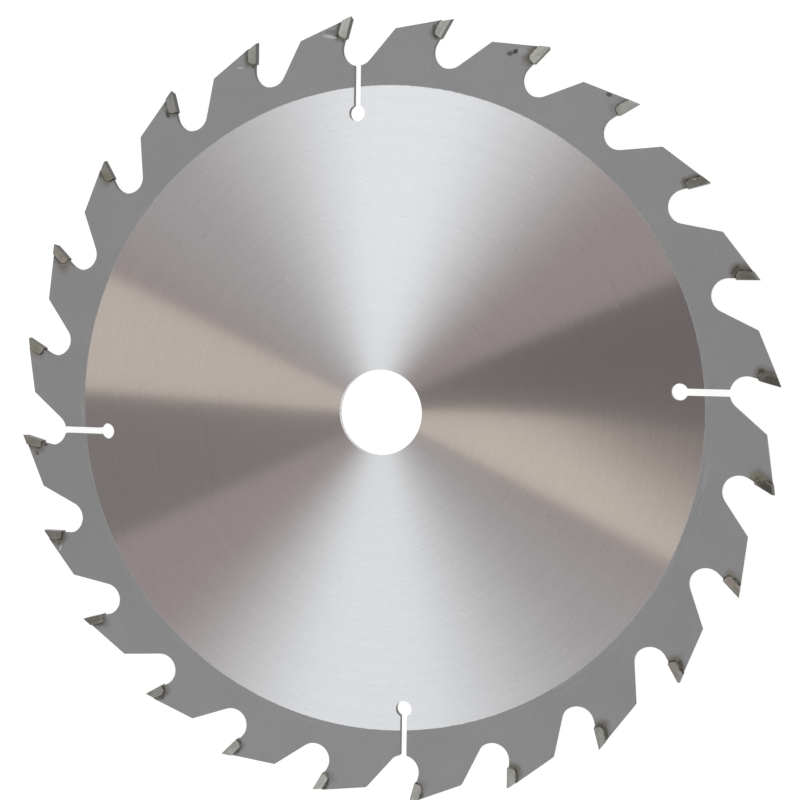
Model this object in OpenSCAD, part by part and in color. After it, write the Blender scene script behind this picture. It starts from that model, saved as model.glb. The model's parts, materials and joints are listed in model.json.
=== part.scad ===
// Carbide-tipped circular saw blade, lying flat.
// A laser-cut steel plate carries tungsten carbide tips, each brazed into a seat at the front of its tooth.
// The bore axis is Z, and the origin lies on it at mid thickness. The first cutting point is on +Y.
// The teeth point clockwise seen from +Z, and the tips are numbered clockwise from the first.

/* [Blade] */
// Diameter of the circle that the cutting points run on
blade_d = 184; // [165:1:230]
// Diameter of the arbor bore
bore_d = 20; // [12:0.5:40]
// Thickness of the steel plate
plate_t = 1.6; // [1:0.1:2.4]
// Number of teeth
tooth_count = 24; // [20:1:30]

/* [Tooth form] */
// Hook angle, between the cutting face and the radius through the cutting point
hook_angle = 20; // [14:0.5:24]
// Angle between the tooth's back and the tangent at the cutting point
back_angle = 18; // [15:0.5:20]
// Drop of the plate's back below the cutting point
back_drop = 0.1; // [0.1:0.05:0.6]
// Angle between the tooth's flank and the tangent at the cutting point
flank_angle = 59; // [54:1:66]
// Depth of the gullet below the cutting circle
gullet_depth = 11.5; // [10.5:0.1:13]
// Radius of the gullet's round bottom
gullet_r = 3.85; // [3:0.05:4.4]

/* [Carbide tips] */
// Length of a tip down its cutting face
tip_l = 5.2; // [4:0.1:6]
// Thickness of a tip behind its cutting face
tip_t = 2; // [1.6:0.1:3]
// Radius of a tip's heel, where its back meets its bottom
heel_r = 1; // [0.4:0.1:1.6]
// Overhang of the cutting face past the front wall of the plate
tip_overhang = 0.4; // [0.1:0.05:0.8]
// Overhang of the cutting edge past each face of the plate
side_overhang = 0.4; // [0.3:0.05:0.8]
// Clearance angle of the ground top, from the tangent at the cutting point
top_clearance = 17; // [10:0.5:17]
// Bevel of the ground top, which falls to one side and the other in turn
top_bevel = 10; // [0:1:15]
// Taper of each side of a tip towards its bottom
radial_relief = 1; // [0.5:0.25:1.5]
// Taper of each side of a tip towards its back
tangential_relief = 1.5; // [1:0.25:3]

/* [Braze] */
// Thickness of the braze between a tip and its seat
braze_t = 0.15; // [0.1:0.05:0.3]

/* [Expansion slots] */
// Number of expansion slots
slot_count = 4; // [2:1:6]
// Width of a slot
slot_w = 1.6; // [0.8:0.1:2.5]
// Length of a slot, from the bottom of its gullet to the centre of its end hole
slot_l = 10.9; // [8:0.1:16]
// Angle of a slot from the radius through its gullet
slot_tilt = 4.5; // [0:0.5:10]
// Diameter of a slot's end hole
slot_hole_d = 3.8; // [3:0.1:6]

/* [Hidden] */
$fn = 96;
steel_colour = [0.72, 0.72, 0.73];
carbide_colour = [0.45, 0.44, 0.40];
braze_colour = [0.62, 0.57, 0.44];

// Reach of the half planes and boxes that trim the tooth form
trim = 2 * gullet_depth;
pitch = 360 / tooth_count;
tip_r = blade_d / 2;
kerf = plate_t + 2 * side_overhang;

// Tooth frame: the cutting point is on +Y, and the cutting face looks towards +X
cutting_point = [0, tip_r];
rake_down = [-sin(hook_angle), -cos(hook_angle)];
rake_front = [cos(hook_angle), -sin(hook_angle)];

// Gullet: its circle touches the root circle and the front wall behind the cutting face
gullet_centre_r = tip_r - gullet_depth + gullet_r;
gullet_abreast = cutting_point + (gullet_r - tip_overhang) * rake_front;
rake_reach = tip_r * cos(hook_angle);
gullet_down = rake_reach - sqrt(rake_reach ^ 2 - gullet_abreast * gullet_abreast + gullet_centre_r ^ 2);
gullet_centre = gullet_abreast + gullet_down * rake_down;
gullet_lean = atan2(gullet_centre.x, gullet_centre.y);

// Flank and back of the next tooth, as they lie in this tooth's frame
flank_heading = 180 + flank_angle - pitch;
back_heading = 180 + back_angle - pitch;
next_back_start = (tip_r - back_drop) * heading(90 - pitch);
flank_start = gullet_centre + gullet_r * heading(flank_heading + 90);
tooth_corner = crossing(flank_start, flank_heading, next_back_start, back_heading);

// Unit vector at an angle from +X
function heading(angle) = [cos(angle), sin(angle)];

// Point where two lines cross, each given by a point and an angle
function crossing(p, p_angle, q, q_angle) =
    p + cross(q - p, heading(q_angle)) / cross(heading(p_angle), heading(q_angle)) * heading(p_angle);

function tip_name(tooth) = str("carbide_tip_", tooth < 9 ? "0" : "", tooth + 1);

// Puts its children in the frame of a tooth
module at_tooth(tooth) {
    rotate(-tooth * pitch) children();
}

// Within a tooth, puts its children at the cutting point, with +Y up the cutting face and +X to its front
module at_cutting_face() {
    translate(cutting_point) rotate(-hook_angle) children();
}

// Block behind the cutting face, with a round heel
module heel_plan(thickness, length, radius, front = 0) {
    translate([-thickness, -length]) difference() {
        square([thickness + front, length]);
        difference() {
            square(radius);
            translate([radius, radius]) circle(radius);
        }
    }
}

module tip_plan() {
    heel_plan(tip_t, tip_l, heel_r);
}

// Seat that takes a tip and the braze behind and below it
module seat_plan(front = 0) {
    heel_plan(tip_t + braze_t, tip_l + braze_t, heel_r + braze_t, front);
}

// Gap between the front of one tooth and the flank and back of the next
module gullet_plan() {
    translate(gullet_centre) circle(gullet_r);
    polygon([
        cutting_point - tip_overhang * rake_front,
        gullet_centre - gullet_r * rake_front,
        flank_start,
        tooth_corner,
        next_back_start,
        (tip_r + trim) * heading(90 - pitch),
        (tip_r + trim) * heading(90)
    ]);
}

// Half plane outside the plate's back
module outside_back_plan() {
    translate([0, tip_r - back_drop]) rotate(back_angle) translate([-trim, 0]) square([2 * trim, trim]);
}

// Expansion slot from the middle of a gullet to its round end hole
module slot_plan() {
    reach = gullet_r + slot_l;
    translate(gullet_centre) rotate(-gullet_lean - slot_tilt) {
        translate([-slot_w / 2, -reach]) square([slot_w, reach]);
        translate([0, -reach]) circle(d = slot_hole_d);
    }
}

module plate_plan() {
    difference() {
        circle(tip_r);
        circle(d = bore_d);
        for (tooth = [0 : tooth_count - 1]) at_tooth(tooth) {
            gullet_plan();
            at_cutting_face() seat_plan();
        }
        for (slot = [0 : slot_count - 1]) at_tooth(floor(slot * tooth_count / slot_count)) slot_plan();
    }
}

module blade_body() {
    color(steel_colour) linear_extrude(plate_t, center = true) plate_plan();
}

// Space above the ground top of a tip, which is highest at the edge on the side that hand gives
module ground_top(hand) {
    translate([0, 0, hand * kerf / 2])
        rotate(hook_angle + top_clearance)
            rotate([-hand * top_bevel, 0, 0])
                translate([-trim, 0, -trim]) cube([2 * trim, trim, 2 * trim]);
}

// Space outside the tapered side of a tip
module ground_side() {
    translate([0, 0, kerf / 2])
        rotate([radial_relief, -tangential_relief, 0])
            translate([-trim, -trim, 0]) cube([2 * trim, 2 * trim, trim]);
}

module carbide_tip(tooth) {
    hand = tooth % 2 == 0 ? 1 : -1;
    color(carbide_colour) at_tooth(tooth) at_cutting_face() difference() {
        linear_extrude(kerf, center = true) tip_plan();
        ground_top(hand);
        ground_side();
        mirror([0, 0, 1]) ground_side();
    }
}

// Film between a tip and its seat, flush with the plate's front, back and faces
module braze_plan() {
    difference() {
        at_cutting_face() difference() {
            seat_plan(front = -tip_overhang);
            tip_plan();
        }
        outside_back_plan();
    }
}

module braze_joints() {
    color(braze_colour) linear_extrude(plate_t, center = true)
        for (tooth = [0 : tooth_count - 1]) at_tooth(tooth) braze_plan();
}

blade_body();
for (tooth = [0 : tooth_count - 1]) carbide_tip(tooth);
braze_joints();
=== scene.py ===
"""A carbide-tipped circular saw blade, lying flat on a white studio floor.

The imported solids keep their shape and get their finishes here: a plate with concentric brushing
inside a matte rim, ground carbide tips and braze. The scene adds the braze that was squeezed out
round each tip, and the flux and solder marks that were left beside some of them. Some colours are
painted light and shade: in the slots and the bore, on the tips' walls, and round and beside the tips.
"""

import json
import math

import bpy
from mathutils import Matrix, Vector, noise


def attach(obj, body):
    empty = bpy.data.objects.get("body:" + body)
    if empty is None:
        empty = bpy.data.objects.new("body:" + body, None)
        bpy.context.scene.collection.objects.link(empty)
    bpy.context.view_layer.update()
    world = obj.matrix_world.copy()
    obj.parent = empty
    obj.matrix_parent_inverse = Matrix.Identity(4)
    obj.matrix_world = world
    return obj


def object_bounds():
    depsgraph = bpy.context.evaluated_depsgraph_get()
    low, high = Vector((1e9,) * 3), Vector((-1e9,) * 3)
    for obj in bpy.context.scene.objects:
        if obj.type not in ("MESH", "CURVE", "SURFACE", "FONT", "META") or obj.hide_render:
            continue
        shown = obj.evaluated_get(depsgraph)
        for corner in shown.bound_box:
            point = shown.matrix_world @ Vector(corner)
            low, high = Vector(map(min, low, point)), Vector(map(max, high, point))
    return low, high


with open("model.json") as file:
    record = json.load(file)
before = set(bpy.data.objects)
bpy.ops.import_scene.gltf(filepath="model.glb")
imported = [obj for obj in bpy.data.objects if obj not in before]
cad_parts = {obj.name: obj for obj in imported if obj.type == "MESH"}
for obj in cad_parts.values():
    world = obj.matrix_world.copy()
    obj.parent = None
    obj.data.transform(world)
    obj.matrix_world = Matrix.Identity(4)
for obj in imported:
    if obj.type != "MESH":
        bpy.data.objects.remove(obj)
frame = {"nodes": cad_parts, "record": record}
CAD_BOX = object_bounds()

# Sizes from the frame, in metres
MM = 0.001
MOUNTS = {mount["name"]: mount for mount in frame["record"]["mounts"]}
TIP_NODES = sorted(name for name in frame["nodes"] if name.startswith("carbide_tip"))
TIP_R = CAD_BOX[1].y
FLOOR_Z = CAD_BOX[0].z
FACE_Z = MOUNTS["flange_face_top"]["pos_m"][2]
BORE_R = MOUNTS["arbor_bore"]["dims"]["r_mm"] * MM
PITCH = 2 * math.pi / len(TIP_NODES)

# Tooth form: sizes of the part that the frame doesn't state
HOOK = math.radians(20)
BACK = math.radians(18)
BACK_DROP = 0.1 * MM
TIP_T = 2.0 * MM
TIP_L = 5.2 * MM
TIP_OVERHANG = 0.4 * MM
HEEL_R = 1.0 * MM
BRAZE_T = 0.15 * MM

# Share of the pitch ahead of a cutting point that counts as its tooth
TOOTH_AHEAD = 0.3

# Brushed zone: it runs a little off centre, and its edge is ragged and soft
BRUSHED_R = 75.18 * MM
BRUSHED_SHIFT = 0.49 * MM
BRUSHED_RAGGED = 0.12 * MM
BRUSHED_SOFT = 0.1 * MM

# Brush lines, bands and specks, drawn out along circles: length as a share of the radius, width and strength
LINE_ARC = 0.25
LINE_W = 0.22 * MM
LINE_DEPTH = 0.08
BAND_ARC = 0.9
BAND_W = 1.6 * MM
BAND_DEPTH = 0.04
SPECK_ARC = 0.030
SPECK_W = 0.30 * MM
SPECK_DEPTH = 0.06

# Streaks on the rim, and the distances from the brushed zone at which they start to fade and end
RUB_ARC = 0.15
RUB_W = 0.7 * MM
RUB_DEPTH = 0.12
RUB_FULL = 1.0 * MM
RUB_END = 3.0 * MM

# Rim: strengths of its grain and clouds, and the tint of the brazing heat with painted shade round each
# seat, whose reach noise varies
GRAIN_DEPTH = 0.38
CLOUD_DEPTH = 0.14
HEAT_AND_SHADE_DEPTH = 0.95
HEAT_AND_SHADE_LEAST = 0.5 * MM
HEAT_AND_SHADE_START = -0.6 * MM
HEAT_AND_SHADE_SPREAD = 5.0 * MM

# Random draws by tooth: their seeds, the least share of heat tint and painted shade, and the draw from which
# they are whole
TONE_SEED = 0.0
HEAT_AND_SHADE_SEED = 0.5
HEAT_AND_SHADE_OWN_LEAST = 0.3
HEAT_AND_SHADE_OWN_WHOLE = 0.8

# Cut walls: outer radii of the bore's and the slots', inner radius of the gullets', and depth of the stripes
BORE_WALL_R = 1.1 * BORE_R
SLOT_WALL_R = BRUSHED_R + 4.0 * MM
GULLET_WALL_R = BRUSHED_R + 5.5 * MM
STRIPE_DEPTH = 0.5

# Tips: strengths of the tones that set them apart, of their streaks and of their grinding lines
OWN_DEPTH = 0.24
STREAK_SHARE = 0.45
GRIND_DEPTH = 0.2

# Share of their taper that the sides of the tips are shaded without
SIDE_LEVELLED = 0.8

# Upward share of a normal: a wall has less than the first, and a face more than the second
WALL_UP = 0.3
FACE_UP = 0.7

# Noise scales: swings in a metre, and for the edge of the brushed zone in a radian
EDGE_SCALE = 60.0
GRAIN_SCALE = 4500.0
CLOUD_SCALE = 70.0
HEAT_AND_SHADE_SCALE = 170.0
STRIPE_SCALE = 5200.0
STAIN_AND_SHADE_SCALE = 900.0
MOTTLE_SCALE = 420.0
STREAK_SCALE = 2200.0
GRIND_SCALE = 9000.0
PATCH_SCALE = 520.0
BRAZE_GRAIN_SCALE = 6000.0
SOLDER_SCALE = 900.0
SOLDER_GRAIN_SCALE = 7000.0

# Shares to which noise is slowed along stripes, streaks and grinding lines, which draws them out
STRIPE_PULL = 0.06
STREAK_PULL = 0.1
GRIND_PULL = 0.15

# Noise values at which a mark starts and at which it is full
SPECK_LIGHT = (0.70, 0.82)
SPECK_DARK = (0.30, 0.18)
RUB_MARK = (0.58, 0.75)
MOTTLE_MARK = (0.35, 0.65)
STREAK_MARK = (0.35, 0.65)
BRAZE_DULL_MARK = (0.43, 0.56)
BRAZE_BRIGHT_MARK = (0.58, 0.72)

# Fine relief: strength and height, and how many times as high the stripes are
STEEL_RELIEF = (0.35, 0.05 * MM)
GRIND_RELIEF = (0.12, 0.02 * MM)
BRAZE_RELIEF = (0.4, 0.04 * MM)
SOLDER_RELIEF = (0.3, 0.03 * MM)
STRIPE_RISE = 1.5

# Camera: its eye and target over the blade, the heading of the picture's upper edge, and the lens
EYE = Vector((123.8, 15.2, 413.6)) * MM
TARGET = Vector((4.94, 2.61, 0.8)) * MM
UP_HEADING = math.radians(85.72)
LENS = 83.31
SENSOR = 36.0
CLIP_START = 0.01
CLIP_END = 50.0

# Studio: the colours of the surfaces round the blade, and how far each reaches round the direction
# that a level mirror at the blade's centre shows the camera. Angles are in degrees from +X.
ROOM = (0.458, 0.394, 0.384)
HAZE = (0.550, 0.525, 0.526)
WHITE_TOP = (1.248, 1.282, 1.312)
WHITE_BOTTOM = (1.174, 1.208, 1.235)
BEIGE_LEFT = (0.80, 0.695, 0.615)
BEIGE_RIGHT = (0.880, 0.764, 0.665)
MAUVE = (0.32, 0.275, 0.264)
SHADE_LEFT = (0.305, 0.271, 0.267)
SHADE_RIGHT = (0.231, 0.200, 0.200)
CARDS = (
    # colour, middle, half width, feather, and the shift of the corner that it spreads from
    (HAZE, 123.5, 15, 12.5, (0.0, 0.0)),
    (HAZE, 305, 15.5, 12.5, (0.0, 0.0)),
    (WHITE_TOP, 79.0, 24.8, 21, (-0.006, 0.0)),
    (WHITE_BOTTOM, 265.6, 26.4, 21, (0.0, 0.0)),
    (BEIGE_LEFT, 162.7, 15.3, 1.0, (0.0, 0.0)),
    (BEIGE_RIGHT, 344, 15.5, 1.5, (0.0, 0.0)),
    (SHADE_LEFT, 185.7, 15.8, 1.0, (0.0, -0.003)),
    (MAUVE, 352.25, 32.75, 21.5, (0.085, 0.0)),
    (SHADE_RIGHT, 4.2, 14.1, 1.0, (0.001, 0.0072)),
)
# Further off, the surfaces meet overhead instead, in a lighter room and with softer edges
FAR_ROOM = (0.600, 0.585, 0.580)
FAR_CARDS = (
    (WHITE_TOP, 80, 40, 34, (0.0, 0.0)),
    (WHITE_BOTTOM, 265, 40, 34, (0.0, 0.0)),
    (BEIGE_LEFT, 160, 14, 12, (0.0, 0.0)),
    (BEIGE_RIGHT, 344, 14, 12, (0.0, 0.0)),
    (SHADE_LEFT, 188, 9, 8, (0.0, 0.0)),
    (SHADE_RIGHT, 12, 9, 8, (0.0, 0.0)),
)
# Distances from the mirror direction where the near surfaces end and the far ones start
NEAR_REACH = 0.28
FAR_START = 0.36
FLOOR_HALF = 6.0
FLOOR_GLOW = 0.86
FLOOR_ALBEDO = 0.30

# Finishes, with painted shade on the tips' walls and round the seats, and painted light on the slot and bore
# walls
BRUSHED_STEEL = (0.600, 0.598, 0.600)
RIM_STEEL = (0.302, 0.302, 0.306)
CUT_STEEL = (0.176, 0.172, 0.167)
# Painted light: lighter copies of the cut steel for the slot and bore walls
SLOT_WALL_PAINTED_LIGHT = (0.300, 0.296, 0.291)
BORE_WALL_PAINTED_LIGHT = (0.920, 0.920, 0.920)
# Heat tint and painted shade round the seats
HEAT_TINT_AND_SHADE = (0.135, 0.122, 0.095)
CARBIDE_LIGHT = (0.415, 0.418, 0.393)
CARBIDE_DARK = (0.279, 0.287, 0.249)
# Painted shade: the tips' walls get a darker copy of the carbide
CARBIDE_WALL_PAINTED_SHADE = (0.11, 0.107, 0.100)
BRAZE_SILVER = (0.42, 0.38, 0.29)
BRAZE_DULL = (0.200, 0.193, 0.165)
BRAZE_DARK = (0.060, 0.052, 0.042)
# Flux and oxide colours, also used for painted shade beside the tips
FLUX_BLACK_AND_SHADE = (0.045, 0.040, 0.048)
FLUX_BROWN_AND_SHADE = (0.085, 0.070, 0.052)
OXIDE_GREY_AND_SHADE = (0.095, 0.095, 0.080)
OXIDE_OLIVE = (0.23, 0.23, 0.16)
OXIDE_PINK = (0.46, 0.39, 0.36)
SOLDER_PALE = (0.46, 0.47, 0.465)
SOLDER_DEPTH = 0.4
RIM_METAL = 0.20
RIM_ROUGH = 0.62
BRUSHED_ROUGH = 0.08
LINE_ROUGH = 0.02
CARBIDE_METAL = 0.8
CARBIDE_ROUGH = 0.12
CARBIDE_TINT = (0.6, 0.6, 0.6, 1.0)
GRIND_ROUGH = 0.08
BRAZE_METAL = 0.7
BRAZE_ROUGH = 0.55
BRAZE_BRIGHT_ROUGH = 0.32
SOLDER_METAL = 0.6
SOLDER_ROUGH = 0.45

# Seen at a slant, the brushing spreads reflections wider. Slants are shares, 0 face on and 1 edge on.
SLANT_START = 0.12
SLANT_FULL = 0.42
SLANT_ROUGH = 0.36

# Stains that brazing left on the upper face, and painted shade beside the tips: the grey and black marks
# along the back and the foot of a tip, and the brown mark above tooth 1's solder smear, are painted shade.
# Places are in the tooth's own frame, in millimetres: across from the radius through its cutting point,
# and up that radius. A mark is full up to one share of its half length or half width, and ends ragged at
# another.
STAIN_AND_SHADE_FULL = 0.5
STAIN_AND_SHADE_END = 1.2
STAIN_AND_SHADE_RAGGED = 0.9
STAINS_AND_SHADE = (
    # tooth, across, up, half length, half width, heading in degrees, colour, share
    # Painted shade above the solder smear of tooth 1
    (1, -5.2, 88.9, 1.70, 0.55, -8, FLUX_BROWN_AND_SHADE, 0.35),
    (1, -3.5, 89.6, 1.60, 0.45, 72, OXIDE_GREY_AND_SHADE, 0.75),
    (1, -3.9, 87.9, 0.60, 0.45, 80, FLUX_BLACK_AND_SHADE, 0.70),
    (1, -2.5, 86.7, 0.60, 0.40, 80, OXIDE_GREY_AND_SHADE, 0.70),
    (2, -3.8, 88.8, 1.40, 0.50, 100, OXIDE_GREY_AND_SHADE, 0.85),
    (2, -3.1, 87.1, 0.85, 0.45, 130, OXIDE_GREY_AND_SHADE, 0.75),
    (3, -7.9, 87.0, 0.75, 0.60, 40, FLUX_BLACK_AND_SHADE, 0.75),
    (3, -7.0, 87.9, 0.75, 0.60, 40, FLUX_BLACK_AND_SHADE, 0.95),
    (3, -5.4, 88.5, 1.40, 0.90, 20, SOLDER_PALE, 0.22),
    (4, -6.5, 89.2, 0.80, 0.45, 20, FLUX_BLACK_AND_SHADE, 0.80),
    (5, -1.8, 89.9, 3.20, 1.40, 70, OXIDE_GREY_AND_SHADE, 0.40),
    (5, -2.8, 89.5, 0.40, 0.35, 20, SOLDER_PALE, 0.70),
    (5, -3.8, 87.4, 0.90, 0.60, 120, FLUX_BROWN_AND_SHADE, 0.50),
    (6, -1.6, 90.0, 3.20, 1.40, 70, OXIDE_GREY_AND_SHADE, 0.35),
    (6, -4.1, 87.7, 1.45, 0.45, 120, FLUX_BROWN_AND_SHADE, 0.80),
    (7, -1.5, 90.1, 3.20, 1.50, 70, OXIDE_GREY_AND_SHADE, 0.75),
    (7, -3.7, 87.8, 0.95, 0.85, 60, FLUX_BROWN_AND_SHADE, 0.90),
    (7, -3.0, 89.2, 0.75, 0.50, 80, OXIDE_OLIVE, 0.60),
    (8, -3.5, 87.8, 2.40, 1.20, 75, OXIDE_OLIVE, 0.65),
    (8, -1.2, 90.3, 3.00, 1.40, 70, OXIDE_GREY_AND_SHADE, 0.85),
    (9, -4.0, 88.0, 1.20, 0.70, 70, OXIDE_OLIVE, 0.50),
    (9, -3.2, 90.0, 1.40, 0.45, 70, OXIDE_GREY_AND_SHADE, 0.80),
    (9, -2.3, 88.6, 1.70, 0.80, 65, OXIDE_PINK, 0.55),
    (10, -2.0, 88.4, 1.70, 0.90, 65, OXIDE_PINK, 0.35),
    (10, -3.5, 89.4, 1.35, 0.70, 55, FLUX_BROWN_AND_SHADE, 0.90),
    (11, -3.6, 89.4, 1.80, 0.60, 68, OXIDE_GREY_AND_SHADE, 0.95),
    (11, -3.5, 87.5, 0.85, 0.50, 120, OXIDE_GREY_AND_SHADE, 0.90),
    (12, -3.3, 89.8, 1.70, 0.45, 70, OXIDE_GREY_AND_SHADE, 0.80),
    (13, -3.3, 90.2, 1.20, 0.50, 65, OXIDE_GREY_AND_SHADE, 0.65),
    (13, -2.2, 88.2, 1.50, 0.70, 70, OXIDE_PINK, 0.35),
    (14, -3.2, 89.9, 1.60, 0.65, 70, OXIDE_GREY_AND_SHADE, 0.80),
    (14, -3.0, 87.2, 0.65, 0.45, 45, OXIDE_GREY_AND_SHADE, 0.85),
    (15, -3.5, 89.2, 1.50, 0.45, 80, OXIDE_GREY_AND_SHADE, 0.75),
    (15, -3.1, 87.4, 0.95, 0.45, 120, OXIDE_GREY_AND_SHADE, 0.75),
    (16, -3.8, 89.4, 1.20, 0.60, 65, FLUX_BROWN_AND_SHADE, 0.80),
    (16, -1.8, 89.9, 3.20, 1.40, 70, OXIDE_GREY_AND_SHADE, 0.25),
    (17, -3.8, 88.8, 0.90, 0.45, 80, FLUX_BROWN_AND_SHADE, 0.40),
    (17, -1.7, 90.0, 3.20, 1.40, 70, OXIDE_GREY_AND_SHADE, 0.50),
    (18, -4.5, 88.9, 0.65, 0.50, 90, FLUX_BROWN_AND_SHADE, 0.50),
    (18, -1.8, 89.9, 3.20, 1.40, 70, OXIDE_GREY_AND_SHADE, 0.20),
    (19, -4.7, 88.8, 0.75, 0.60, 30, FLUX_BROWN_AND_SHADE, 0.65),
    (19, -2.8, 86.3, 0.50, 0.45, 90, FLUX_BLACK_AND_SHADE, 0.80),
    (19, -2.8, 89.7, 0.45, 0.30, 80, SOLDER_PALE, 0.50),
    (21, -2.9, 88.0, 1.00, 0.90, 30, OXIDE_PINK, 0.65),
    (22, -2.9, 88.6, 1.80, 1.20, 60, OXIDE_OLIVE, 0.60),
    (22, -3.1, 90.2, 0.90, 0.40, 18, FLUX_BROWN_AND_SHADE, 0.60),
    (23, -4.1, 88.1, 1.05, 0.50, 80, FLUX_BLACK_AND_SHADE, 0.80),
    (24, -3.8, 89.3, 1.40, 0.55, 72, OXIDE_GREY_AND_SHADE, 0.45),
    (24, -2.6, 86.7, 0.60, 0.40, 75, FLUX_BLACK_AND_SHADE, 0.60),
)

# Braze squeezed out round a tip: its usual radius, how much that swells, and the sizes of its lumps
BEAD_R = 0.22 * MM
BEAD_SWELL = 0.55
BEAD_LUMP = 0.9 * MM
BEAD_NUB = 0.35 * MM

# Smears of solder, raised a little from the upper face, with a ragged edge that dips under it
SMEAR_T = 0.10 * MM
SMEAR_FALL = 1.1
SMEAR_RAGGED = 0.3
SMEAR_LUMP = 0.5 * MM
SMEARS = (
    # tooth, across, up, half length, half width, heading in degrees
    (1, -5.8, 87.9, 1.80, 0.38, -16),
    (18, -5.5, 88.9, 0.75, 0.32, -30),
    (24, -5.9, 87.7, 1.00, 0.22, -24),
)


class Graph:
    """A node tree in the making. Wherever a value goes, a number, a tuple or a socket will do."""

    def __init__(self, tree):
        self.tree = tree
        tree.nodes.clear()

    def feed(self, socket, value):
        if isinstance(value, bpy.types.NodeSocket):
            self.tree.links.new(value, socket)
        else:
            socket.default_value = value

    def node(self, kind, inputs=None, **settings):
        made = self.tree.nodes.new(kind)
        for name, value in settings.items():
            setattr(made, name, value)
        for name, value in (inputs or {}).items():
            self.feed(made.inputs[name], value)
        return made

    def math(self, operation, *values):
        made = self.node("ShaderNodeMath", operation=operation)
        for socket, value in zip(made.inputs, values):
            self.feed(socket, value)
        return made.outputs[0]

    def vector(self, operation, *values):
        made = self.node("ShaderNodeVectorMath", operation=operation)
        for socket, value in zip(made.inputs, values):
            self.feed(socket, value)
        return made.outputs["Value" if operation == "LENGTH" else "Vector"]

    def scaled(self, vector, factor):
        made = self.node("ShaderNodeVectorMath", {"Vector": vector, "Scale": factor}, operation="SCALE")
        return made.outputs["Vector"]

    def turned(self, vector, angle):
        """Vector turned about Z."""
        values = {"Vector": vector, "Angle": angle}
        return self.node("ShaderNodeVectorRotate", values, rotation_type="Z_AXIS").outputs[0]

    def combine(self, x, y, z):
        return self.node("ShaderNodeCombineXYZ", {"X": x, "Y": y, "Z": z}).outputs[0]

    def separate(self, vector):
        return self.node("ShaderNodeSeparateXYZ", {"Vector": vector}).outputs

    def ramp(self, value, start, end, low=0.0, high=1.0):
        """Smooth step from low at start to high at end."""
        limits = {"From Min": start, "From Max": end, "To Min": low, "To Max": high}
        made = self.node("ShaderNodeMapRange", {"Value": value, **limits}, interpolation_type="SMOOTHSTEP")
        return made.outputs[0]

    def mix(self, share, first, second):
        """Blend of two colours."""
        made = self.node("ShaderNodeMix", data_type="RGBA")
        for index, value in ((0, share), (6, first), (7, second)):
            opaque = (*value, 1.0) if isinstance(value, tuple) else value
            self.feed(made.inputs[index], opaque)
        return made.outputs[2]

    def blend(self, share, first, second):
        """Blend of two numbers."""
        made = self.node("ShaderNodeMix", data_type="FLOAT")
        for index, value in ((0, share), (2, first), (3, second)):
            self.feed(made.inputs[index], value)
        return made.outputs[0]

    def noise(self, vector, scale, detail=2.0, rough=0.5):
        values = {"Vector": vector, "Scale": scale, "Detail": detail, "Roughness": rough}
        return self.node("ShaderNodeTexNoise", values).outputs[0]

    def swing(self, share, depth, base=1.0):
        """Base with a share of 0 to 1 swinging about it, over the whole depth."""
        return self.math("MULTIPLY_ADD", self.math("SUBTRACT", share, 0.5), depth, base)

    def bump(self, height, strength, depth, **more):
        """Normal over a surface whose height of 1 is depth high."""
        values = {"Height": height, "Strength": strength, "Distance": depth, **more}
        return self.node("ShaderNodeBump", values).outputs[0]


def material_graph(name):
    material = bpy.data.materials.new(name)
    material.use_nodes = True
    return material, Graph(material.node_tree)


def surface(graph, shader):
    graph.node("ShaderNodeOutputMaterial", {"Surface": shader.outputs[0]})


def principled(graph, **inputs):
    named = {name.replace("_", " "): value for name, value in inputs.items()}
    return graph.node("ShaderNodeBsdfPrincipled", named)


# Studio

def mirror_direction():
    """Direction that a level mirror at the blade's centre shows the camera."""
    towards_eye = EYE.normalized()
    return Vector((-towards_eye.x, -towards_eye.y, towards_eye.z))


def sectors(graph, x, y, colour, cards):
    """Colour with cards laid over it one after the other, each spreading from a corner."""
    for card, centre, half, feather, corner in cards:
        from_corner = (graph.math("SUBTRACT", y, corner[1]), graph.math("SUBTRACT", x, corner[0]))
        azimuth = graph.math("DEGREES", graph.math("ARCTAN2", *from_corner))
        turned = graph.math("SUBTRACT", azimuth, float(centre))
        away = graph.math("ABSOLUTE", graph.math("WRAP", turned, 180.0, -180.0))
        share = graph.ramp(away, half + feather, half - feather)
        colour = graph.mix(share, colour, card)
    return colour


def studio_world():
    """Near surfaces that meet where a level mirror at the blade's centre looks, and far ones round them."""
    world = bpy.data.worlds.new("studio")
    world.use_nodes = True
    bpy.context.scene.world = world
    graph = Graph(world.node_tree)
    direction = graph.node("ShaderNodeTexCoord").outputs["Generated"]
    from_middle = graph.vector("SUBTRACT", direction, mirror_direction())
    x, y, _ = graph.separate(from_middle)
    near = sectors(graph, x, y, ROOM, CARDS)
    far_x, far_y, _ = graph.separate(direction)
    far = sectors(graph, far_x, far_y, FAR_ROOM, FAR_CARDS)
    distance = graph.vector("LENGTH", graph.combine(x, y, 0.0))
    colour = graph.mix(graph.ramp(distance, NEAR_REACH, FAR_START), near, far)
    background = graph.node("ShaderNodeBackground", {"Color": colour})
    graph.node("ShaderNodeOutputWorld", {"Surface": background.outputs[0]})


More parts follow.
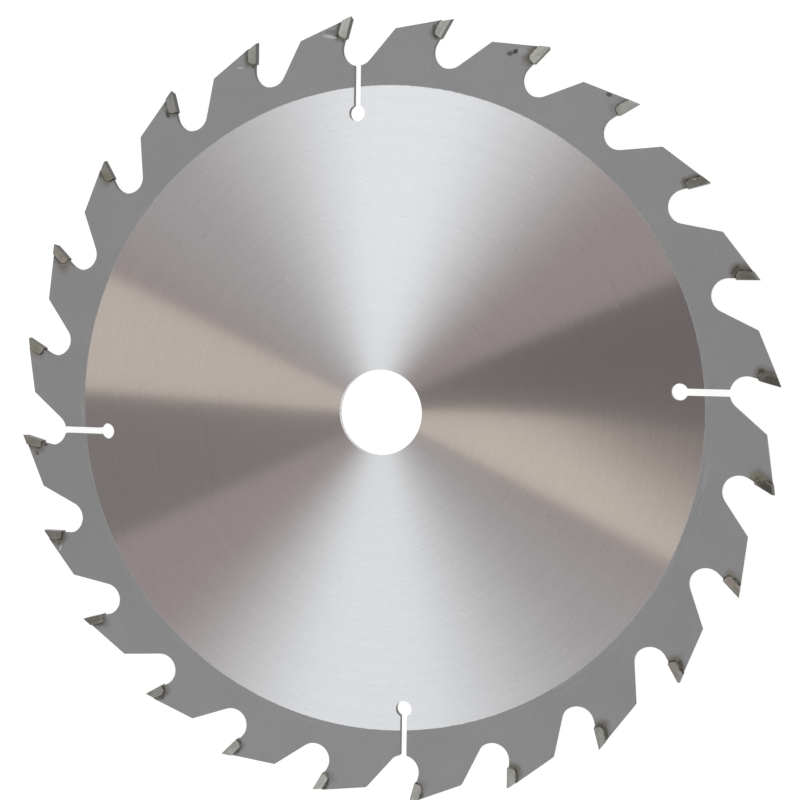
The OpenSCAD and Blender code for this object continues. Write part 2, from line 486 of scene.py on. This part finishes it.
def studio_floor():
    """White floor under the lowest points of the blade. Its glow whitens it and takes no shadow away."""
    corners = [(-1, -1), (1, -1), (1, 1), (-1, 1)]
    mesh = bpy.data.meshes.new("floor")
    mesh.from_pydata([(x * FLOOR_HALF, y * FLOOR_HALF, FLOOR_Z) for x, y in corners], [], [range(4)])
    floor = bpy.data.objects.new("floor", mesh)
    bpy.context.scene.collection.objects.link(floor)
    material, graph = material_graph("floor_white")
    path = graph.node("ShaderNodeLightPath").outputs
    seen = graph.math("MAXIMUM", path["Is Camera Ray"], path["Is Glossy Ray"])
    seen = graph.math("MAXIMUM", seen, path["Is Transmission Ray"])
    glow = graph.node("ShaderNodeEmission", {"Strength": graph.math("MULTIPLY", seen, FLOOR_GLOW)})
    paint = graph.node("ShaderNodeBsdfDiffuse", {"Color": (FLOOR_ALBEDO,) * 3 + (1.0,)})
    both = graph.node("ShaderNodeAddShader")
    graph.feed(both.inputs[0], paint.outputs[0])
    graph.feed(both.inputs[1], glow.outputs[0])
    surface(graph, both)
    mesh.materials.append(material)


def studio_camera():
    data = bpy.data.cameras.new("camera")
    data.lens = LENS
    data.sensor_width = SENSOR
    data.clip_start = CLIP_START
    data.clip_end = CLIP_END
    camera = bpy.data.objects.new("camera", data)
    bpy.context.scene.collection.objects.link(camera)
    forward = (TARGET - EYE).normalized()
    up_hint = Vector((math.cos(UP_HEADING), math.sin(UP_HEADING), 0))
    right = forward.cross(up_hint).normalized()
    up = right.cross(forward)
    camera.matrix_world = Matrix.Translation(EYE) @ Matrix((right, up, -forward)).transposed().to_4x4()
    bpy.context.scene.camera = camera


# Materials

def tip_frame(graph, x, y):
    """Place from the nearest cutting point: X to the front of its cutting face, and Y up it."""
    radius = graph.vector("LENGTH", graph.combine(x, y, 0.0))
    turn = graph.math("ARCTAN2", x, y)
    turn = graph.math("WRAP", turn, TOOTH_AHEAD * PITCH, (TOOTH_AHEAD - 1) * PITCH)
    across = graph.math("MULTIPLY", radius, graph.math("SINE", turn))
    along = graph.math("SUBTRACT", graph.math("MULTIPLY", radius, graph.math("COSINE", turn)), TIP_R)
    return graph.turned(graph.combine(across, along, 0.0), HOOK)


def seat_distance(graph, x, y):
    """Distance from the nearest tip's block, seen along the bore."""
    place = graph.vector("ADD", tip_frame(graph, x, y), (TIP_T / 2, TIP_L / 2, 0.0))
    outside = graph.vector("SUBTRACT", graph.vector("ABSOLUTE", place), (TIP_T / 2, TIP_L / 2, 0.0))
    return graph.vector("LENGTH", graph.vector("MAXIMUM", outside, (0.0, 0.0, 0.0)))


def own_share(graph, x, y, seed):
    """Random share of the tooth that a place is on, the same all over the tooth."""
    turn = graph.math("DIVIDE", graph.math("ARCTAN2", x, y), PITCH)
    tooth = graph.math("FLOOR", graph.math("ADD", turn, 1 - TOOTH_AHEAD))
    own = graph.math("ADD", tooth, seed)
    return graph.node("ShaderNodeTexWhiteNoise", {"W": own}, noise_dimensions="1D").outputs[0]


def stained_and_shaded(graph, colour, place):
    """Colour with the stains and the painted shade of the upper face over it."""
    ragged = graph.swing(graph.noise(place, STAIN_AND_SHADE_SCALE), STAIN_AND_SHADE_RAGGED, 0.0)
    on_top = graph.ramp(graph.separate(place)[2], 0.0, FACE_Z / 2)
    # Some rows are painted shade beside the tips and beside a smear
    for tooth, across, up, half_length, half_width, heading, stain_and_shade, share in STAINS_AND_SHADE:
        middle = on_tooth(tooth - 1, across * MM, up * MM, 0.0)
        turn = math.radians(heading) - (tooth - 1) * PITCH
        away = graph.turned(graph.vector("SUBTRACT", place, tuple(middle)), -turn)
        away = graph.vector("MULTIPLY", away, (1 / (half_length * MM), 1 / (half_width * MM), 0.0))
        distance = graph.math("ADD", graph.vector("LENGTH", away), ragged)
        covered = graph.ramp(distance, STAIN_AND_SHADE_END, STAIN_AND_SHADE_FULL, 0.0, share)
        colour = graph.mix(graph.math("MULTIPLY", covered, on_top), colour, stain_and_shade)
    return colour


def face_share(graph, normal):
    """Share of 1 on the blade's two faces, and of 0 on the walls between them."""
    return graph.ramp(graph.math("ABSOLUTE", graph.separate(normal)[2]), WALL_UP, FACE_UP)


def ring_noise(graph, level, arc, width, detail=2.0):
    """Noise drawn out along circles: arc is a share of the radius, and width a length."""
    radius = graph.vector("LENGTH", level)
    x, y, _ = graph.separate(graph.scaled(graph.vector("NORMALIZE", level), 1 / arc))
    return graph.noise(graph.combine(x, y, graph.math("DIVIDE", radius, width)), 1.0, detail)


def brushed_share(graph, level):
    """Share of 1 in the brushed zone, down to 0 past its edge."""
    shifted = graph.vector("LENGTH", graph.vector("SUBTRACT", level, (0.0, BRUSHED_SHIFT, 0.0)))
    around = graph.noise(graph.vector("NORMALIZE", level), EDGE_SCALE)
    edge = graph.swing(around, 2 * BRUSHED_RAGGED, shifted)
    return graph.ramp(edge, BRUSHED_R + BRUSHED_SOFT, BRUSHED_R - BRUSHED_SOFT)


def brushed_colour(graph, level, lines):
    """Steel with brush lines, wider bands, and light and dark specks drawn out along the lines."""
    bands = ring_noise(graph, level, BAND_ARC, BAND_W)
    specks = ring_noise(graph, level, SPECK_ARC, SPECK_W, 0.0)
    tone = graph.swing(bands, BAND_DEPTH, graph.swing(lines, LINE_DEPTH))
    tone = graph.math("ADD", tone, graph.ramp(specks, *SPECK_LIGHT, 0.0, SPECK_DEPTH))
    tone = graph.math("SUBTRACT", tone, graph.ramp(specks, *SPECK_DARK, 0.0, SPECK_DEPTH))
    return graph.scaled(BRUSHED_STEEL, tone)


def rim_colour(graph, place, level, grain):
    """Matte steel, rubbed beside the brushed zone, darkened near the tips by heat tint and painted shade,
    and stained, with painted shade beside the tips among the stains.
    """
    clouds = graph.noise(place, CLOUD_SCALE, 3.0)
    tone = graph.swing(grain, GRAIN_DEPTH, graph.swing(clouds, CLOUD_DEPTH))
    rubbed = graph.ramp(ring_noise(graph, level, RUB_ARC, RUB_W, 1.0), *RUB_MARK, 0.0, RUB_DEPTH)
    beside = graph.ramp(graph.vector("LENGTH", level), BRUSHED_R + RUB_END, BRUSHED_R + RUB_FULL)
    tone = graph.math("MULTIPLY_ADD", rubbed, beside, tone)
    x, y, _ = graph.separate(place)
    reach = graph.math("MULTIPLY_ADD", graph.noise(place, HEAT_AND_SHADE_SCALE, 3.0), HEAT_AND_SHADE_SPREAD, HEAT_AND_SHADE_START)
    reach = graph.math("MAXIMUM", reach, HEAT_AND_SHADE_LEAST)
    # Heat tint and painted shade: the rim darkens towards each tip's seat
    heat_and_shade = graph.ramp(seat_distance(graph, x, y), reach, 0.0, 0.0, HEAT_AND_SHADE_DEPTH)
    own = graph.ramp(own_share(graph, x, y, HEAT_AND_SHADE_SEED), 0.0, HEAT_AND_SHADE_OWN_WHOLE, HEAT_AND_SHADE_OWN_LEAST, 1.0)
    colour = graph.mix(graph.math("MULTIPLY", heat_and_shade, own), graph.scaled(RIM_STEEL, tone), HEAT_TINT_AND_SHADE)
    return stained_and_shaded(graph, colour, place)


def walls_with_painted_light(graph, radius, in_bore, stripes):
    """Cut steel: dark in the gullets, with painted light that makes it lighter in the slots and bright in
    the bore.
    """
    in_slot = graph.ramp(radius, GULLET_WALL_R, SLOT_WALL_R)
    # Painted light: the slot walls get a lighter copy of the cut steel
    colour = graph.mix(in_slot, CUT_STEEL, SLOT_WALL_PAINTED_LIGHT)
    # Painted light: the bore wall gets a near-white copy of it
    colour = graph.mix(in_bore, colour, BORE_WALL_PAINTED_LIGHT)
    return graph.scaled(colour, graph.swing(stripes, STRIPE_DEPTH))


def steel_material():
    """Plate: both faces are brushed in rings inside a matte rim, and the laser striped the cut walls."""
    material, graph = material_graph("saw_steel")
    place = graph.node("ShaderNodeTexCoord").outputs["Object"]
    x, y, z = graph.separate(place)
    level = graph.combine(x, y, 0.0)
    radius = graph.vector("LENGTH", level)
    on_face = face_share(graph, graph.node("ShaderNodeNewGeometry").outputs["True Normal"])
    in_bore = graph.math("LESS_THAN", radius, BORE_WALL_R)
    brushed = graph.math("MULTIPLY", brushed_share(graph, level), on_face)
    lines = ring_noise(graph, level, LINE_ARC, LINE_W)
    grain = graph.noise(place, GRAIN_SCALE, 3.0)
    stripes = graph.noise(graph.combine(x, y, graph.math("MULTIPLY", z, STRIPE_PULL)), STRIPE_SCALE, 1.0)

    face = graph.mix(brushed, rim_colour(graph, place, level, grain), brushed_colour(graph, level, lines))
    colour = graph.mix(on_face, walls_with_painted_light(graph, radius, in_bore, stripes), face)
    metal = graph.math("MAXIMUM", graph.blend(brushed, RIM_METAL, 1.0), in_bore)
    facing = graph.node("ShaderNodeLayerWeight", {"Blend": 0.5}).outputs["Facing"]
    spread = graph.ramp(facing, SLANT_START, SLANT_FULL, BRUSHED_ROUGH, SLANT_ROUGH)
    rough = graph.blend(brushed, RIM_ROUGH, graph.swing(lines, LINE_ROUGH, spread))
    striped = graph.math("MULTIPLY", stripes, STRIPE_RISE)
    height = graph.blend(on_face, striped, graph.swing(grain, 1.0, 0.0))
    height = graph.math("MULTIPLY", height, graph.math("SUBTRACT", 1.0, brushed))
    shader = principled(
        graph,
        Base_Color=colour,
        Metallic=metal,
        Roughness=rough,
        Normal=graph.bump(height, *STEEL_RELIEF),
        Tangent=graph.vector("NORMALIZE", level),
        Anisotropic=1.0,
    )
    surface(graph, shader)
    return material


def carbide_material():
    """Ground carbide: mottled and streaked, each tip in its own tone, with painted shade down its walls."""
    material, graph = material_graph("carbide")
    place = graph.node("ShaderNodeTexCoord").outputs["Object"]
    x, y, _ = graph.separate(place)
    normal = graph.node("ShaderNodeNewGeometry").outputs["True Normal"]
    on_face = face_share(graph, normal)
    own = own_share(graph, x, y, TONE_SEED)
    mottle = graph.ramp(graph.noise(place, MOTTLE_SCALE, 3.0), *MOTTLE_MARK)
    drawn_out = graph.vector("MULTIPLY", tip_frame(graph, x, y), (1.0, STREAK_PULL, 0.0))
    drawn_out = graph.vector("ADD", drawn_out, graph.combine(0.0, 0.0, own))
    streaks = graph.ramp(graph.noise(drawn_out, STREAK_SCALE), *STREAK_MARK)
    lines = graph.noise(graph.vector("MULTIPLY", place, (1.0, 1.0, GRIND_PULL)), GRIND_SCALE, 1.0)

    share = graph.swing(lines, GRIND_DEPTH, graph.blend(STREAK_SHARE, mottle, streaks))
    colour = graph.scaled(graph.mix(share, CARBIDE_DARK, CARBIDE_LIGHT), graph.swing(own, OWN_DEPTH))
    # The walls take a darker copy of the carbide, which is painted shade
    colour = graph.mix(on_face, CARBIDE_WALL_PAINTED_SHADE, stained_and_shaded(graph, colour, place))
    lean = graph.math("MULTIPLY_ADD", on_face, -SIDE_LEVELLED, 1.0)
    upright = graph.vector("NORMALIZE", graph.vector("MULTIPLY", normal, graph.combine(lean, lean, 1.0)))
    shader = principled(
        graph,
        Base_Color=colour,
        Metallic=CARBIDE_METAL,
        Roughness=graph.math("MULTIPLY_ADD", lines, GRIND_ROUGH, CARBIDE_ROUGH),
        Normal=graph.bump(lines, *GRIND_RELIEF, Normal=upright),
        Specular_Tint=CARBIDE_TINT,
    )
    surface(graph, shader)
    return material


def braze_material():
    """Silver braze, mostly dull, and blackened by flux in patches."""
    material, graph = material_graph("braze")
    place = graph.node("ShaderNodeTexCoord").outputs["Object"]
    patches = graph.noise(place, PATCH_SCALE, 3.0, 0.6)
    bright = graph.ramp(patches, *BRAZE_BRIGHT_MARK)
    colour = graph.mix(graph.ramp(patches, *BRAZE_DULL_MARK), BRAZE_DARK, BRAZE_DULL)
    colour = graph.mix(bright, colour, BRAZE_SILVER)
    rough = graph.blend(bright, BRAZE_ROUGH, BRAZE_BRIGHT_ROUGH)
    normal = graph.bump(graph.noise(place, BRAZE_GRAIN_SCALE), *BRAZE_RELIEF)
    shader = principled(graph, Base_Color=colour, Metallic=BRAZE_METAL, Roughness=rough, Normal=normal)
    surface(graph, shader)
    return material


def solder_material():
    """Pale solder with a fine grain."""
    material, graph = material_graph("solder")
    place = graph.node("ShaderNodeTexCoord").outputs["Object"]
    colour = graph.scaled(SOLDER_PALE, graph.swing(graph.noise(place, SOLDER_SCALE, 3.0), SOLDER_DEPTH))
    normal = graph.bump(graph.noise(place, SOLDER_GRAIN_SCALE), *SOLDER_RELIEF)
    shader = principled(
        graph,
        Base_Color=colour,
        Metallic=SOLDER_METAL,
        Roughness=SOLDER_ROUGH,
        Normal=normal,
    )
    surface(graph, shader)
    return material


# Pieces

def on_tooth(tooth, across, up, z):
    """Point in a tooth's own frame, where its cutting point is straight up from the bore."""
    turn = -tooth * PITCH
    x = across * math.cos(turn) - up * math.sin(turn)
    y = across * math.sin(turn) + up * math.cos(turn)
    return Vector((x, y, z))


def at_tip(tooth, u, v, z):
    """Point at a tooth's tip: u to the front of its cutting face and v up it, from the cutting point."""
    across = u * math.cos(HOOK) + v * math.sin(HOOK)
    up = TIP_R - u * math.sin(HOOK) + v * math.cos(HOOK)
    return on_tooth(tooth, across, up, z)


def add_piece(name, shapes, material):
    """One smooth piece made of several shapes, each a list of vertices and a list of faces."""
    vertices = []
    faces = []
    for own_vertices, own_faces in shapes:
        faces += [tuple(len(vertices) + corner for corner in face) for face in own_faces]
        vertices += own_vertices
    mesh = bpy.data.meshes.new(name)
    mesh.from_pydata(vertices, [], faces)
    mesh.validate()
    mesh.materials.append(material)
    for polygon in mesh.polygons:
        polygon.use_smooth = True
    piece = bpy.data.objects.new(name, mesh)
    bpy.context.scene.collection.objects.link(piece)
    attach(piece, "root")


def seam_outline(steps=8):
    """Seam of a tip on one face of the plate, from the tooth's back round the heel to its front."""
    wall = -TIP_T - BRAZE_T / 2
    floor = -TIP_L - BRAZE_T / 2
    round_r = HEEL_R + BRAZE_T / 2
    down_back = HOOK + BACK
    top = -BACK_DROP * math.cos(HOOK) + (wall - BACK_DROP * math.sin(HOOK)) * math.tan(down_back) - BEAD_R
    points = [(wall, top)]
    for step in range(steps + 1):
        angle = math.pi + step / steps * math.pi / 2
        u = wall + round_r + round_r * math.cos(angle)
        v = floor + round_r + round_r * math.sin(angle)
        points.append((u, v))
    points.append((-TIP_OVERHANG, floor))
    return points


def even_loop(points, spacing):
    """Closed loop through the points, at an even spacing."""
    lengths = [(b - a).length for a, b in zip(points, points[1:] + points[:1])]
    count = round(sum(lengths) / spacing)
    step = sum(lengths) / count
    made = []
    index = 0
    start = 0.0
    for number in range(count):
        while number * step > start + lengths[index]:
            start += lengths[index]
            index += 1
        share = (number * step - start) / lengths[index]
        made.append(points[index].lerp(points[(index + 1) % len(points)], share))
    return made


def softened(points, passes):
    """Closed loop with its corners eased."""
    for _ in range(passes):
        before = points[-1:] + points[:-1]
        after = points[1:] + points[:1]
        points = [(a + 2 * b + c) / 4 for a, b, c in zip(before, points, after)]
    return points


def braze_bead(tooth, sides=8, spacing=0.14 * MM):
    """Vertices and faces of the braze squeezed out all round one tip."""
    outline = seam_outline()
    loop = [at_tip(tooth, u, v, FACE_Z) for u, v in outline]
    loop += [at_tip(tooth, u, v, -FACE_Z) for u, v in reversed(outline)]
    loop = softened(even_loop(loop, spacing), 2)
    count = len(loop)
    vertices = []
    for index, point in enumerate(loop):
        along = (loop[(index + 1) % count] - loop[index - 1]).normalized()
        side = along.cross(Vector((0, 0, 1)))
        if side.length < 0.3:
            side = along.cross(at_tip(tooth, 1, 0, 0) - at_tip(tooth, 0, 0, 0))
        side.normalize()
        over = side.cross(along)
        swell = noise.noise(point / BEAD_LUMP) + 0.5 * noise.noise(point / BEAD_NUB)
        size = BEAD_R * (1 + BEAD_SWELL * swell)
        for corner in range(sides):
            angle = 2 * math.pi * corner / sides
            vertices.append(point + size * (math.cos(angle) * side + math.sin(angle) * over))
    faces = []
    for index in range(count):
        here = index * sides
        ahead = (index + 1) % count * sides
        for corner in range(sides):
            beside = (corner + 1) % sides
            faces.append((here + corner, here + beside, ahead + beside, ahead + corner))
    return vertices, faces


def solder_smear(tooth, across, up, half_length, half_width, heading, around=28, rings=4):
    """Vertices and faces of a thin smear on a tooth's upper face, ragged at its edge."""
    middle = on_tooth(tooth - 1, across * MM, up * MM, FACE_Z)
    turn = math.radians(heading) - (tooth - 1) * PITCH
    along = Vector((math.cos(turn), math.sin(turn), 0)) * half_length * MM
    beside = Vector((-math.sin(turn), math.cos(turn), 0)) * half_width * MM
    vertices = [middle + Vector((0, 0, SMEAR_T))]
    for ring in range(1, rings + 1):
        out = ring / rings
        rise = SMEAR_T * (1 - SMEAR_FALL * out ** 2)
        for step in range(around):
            angle = 2 * math.pi * step / around
            offset = math.cos(angle) * along + math.sin(angle) * beside
            ragged = 1 + SMEAR_RAGGED * noise.noise((middle + offset) / SMEAR_LUMP)
            vertices.append(middle + out * ragged * offset + Vector((0, 0, rise)))
    faces = [(0, 1 + step, 1 + (step + 1) % around) for step in range(around)]
    for ring in range(rings - 1):
        inner = 1 + ring * around
        outer = inner + around
        for step in range(around):
            ahead = (step + 1) % around
            faces.append((inner + step, outer + step, outer + ahead, inner + ahead))
    return vertices, faces


def dress(node, material):
    slots = frame["nodes"][node].data.materials
    slots.clear()
    slots.append(material)


bpy.context.scene.view_settings.view_transform = "Standard"
studio_camera()
studio_world()
studio_floor()
steel = steel_material()
carbide = carbide_material()
braze = braze_material()
dress("blade_body", steel)
for tip in TIP_NODES:
    dress(tip, carbide)
dress("braze_joints", braze)
add_piece("braze_beads", [braze_bead(tooth) for tooth in range(len(TIP_NODES))], braze)
add_piece("solder_smears", [solder_smear(*smear) for smear in SMEARS], solder_material())
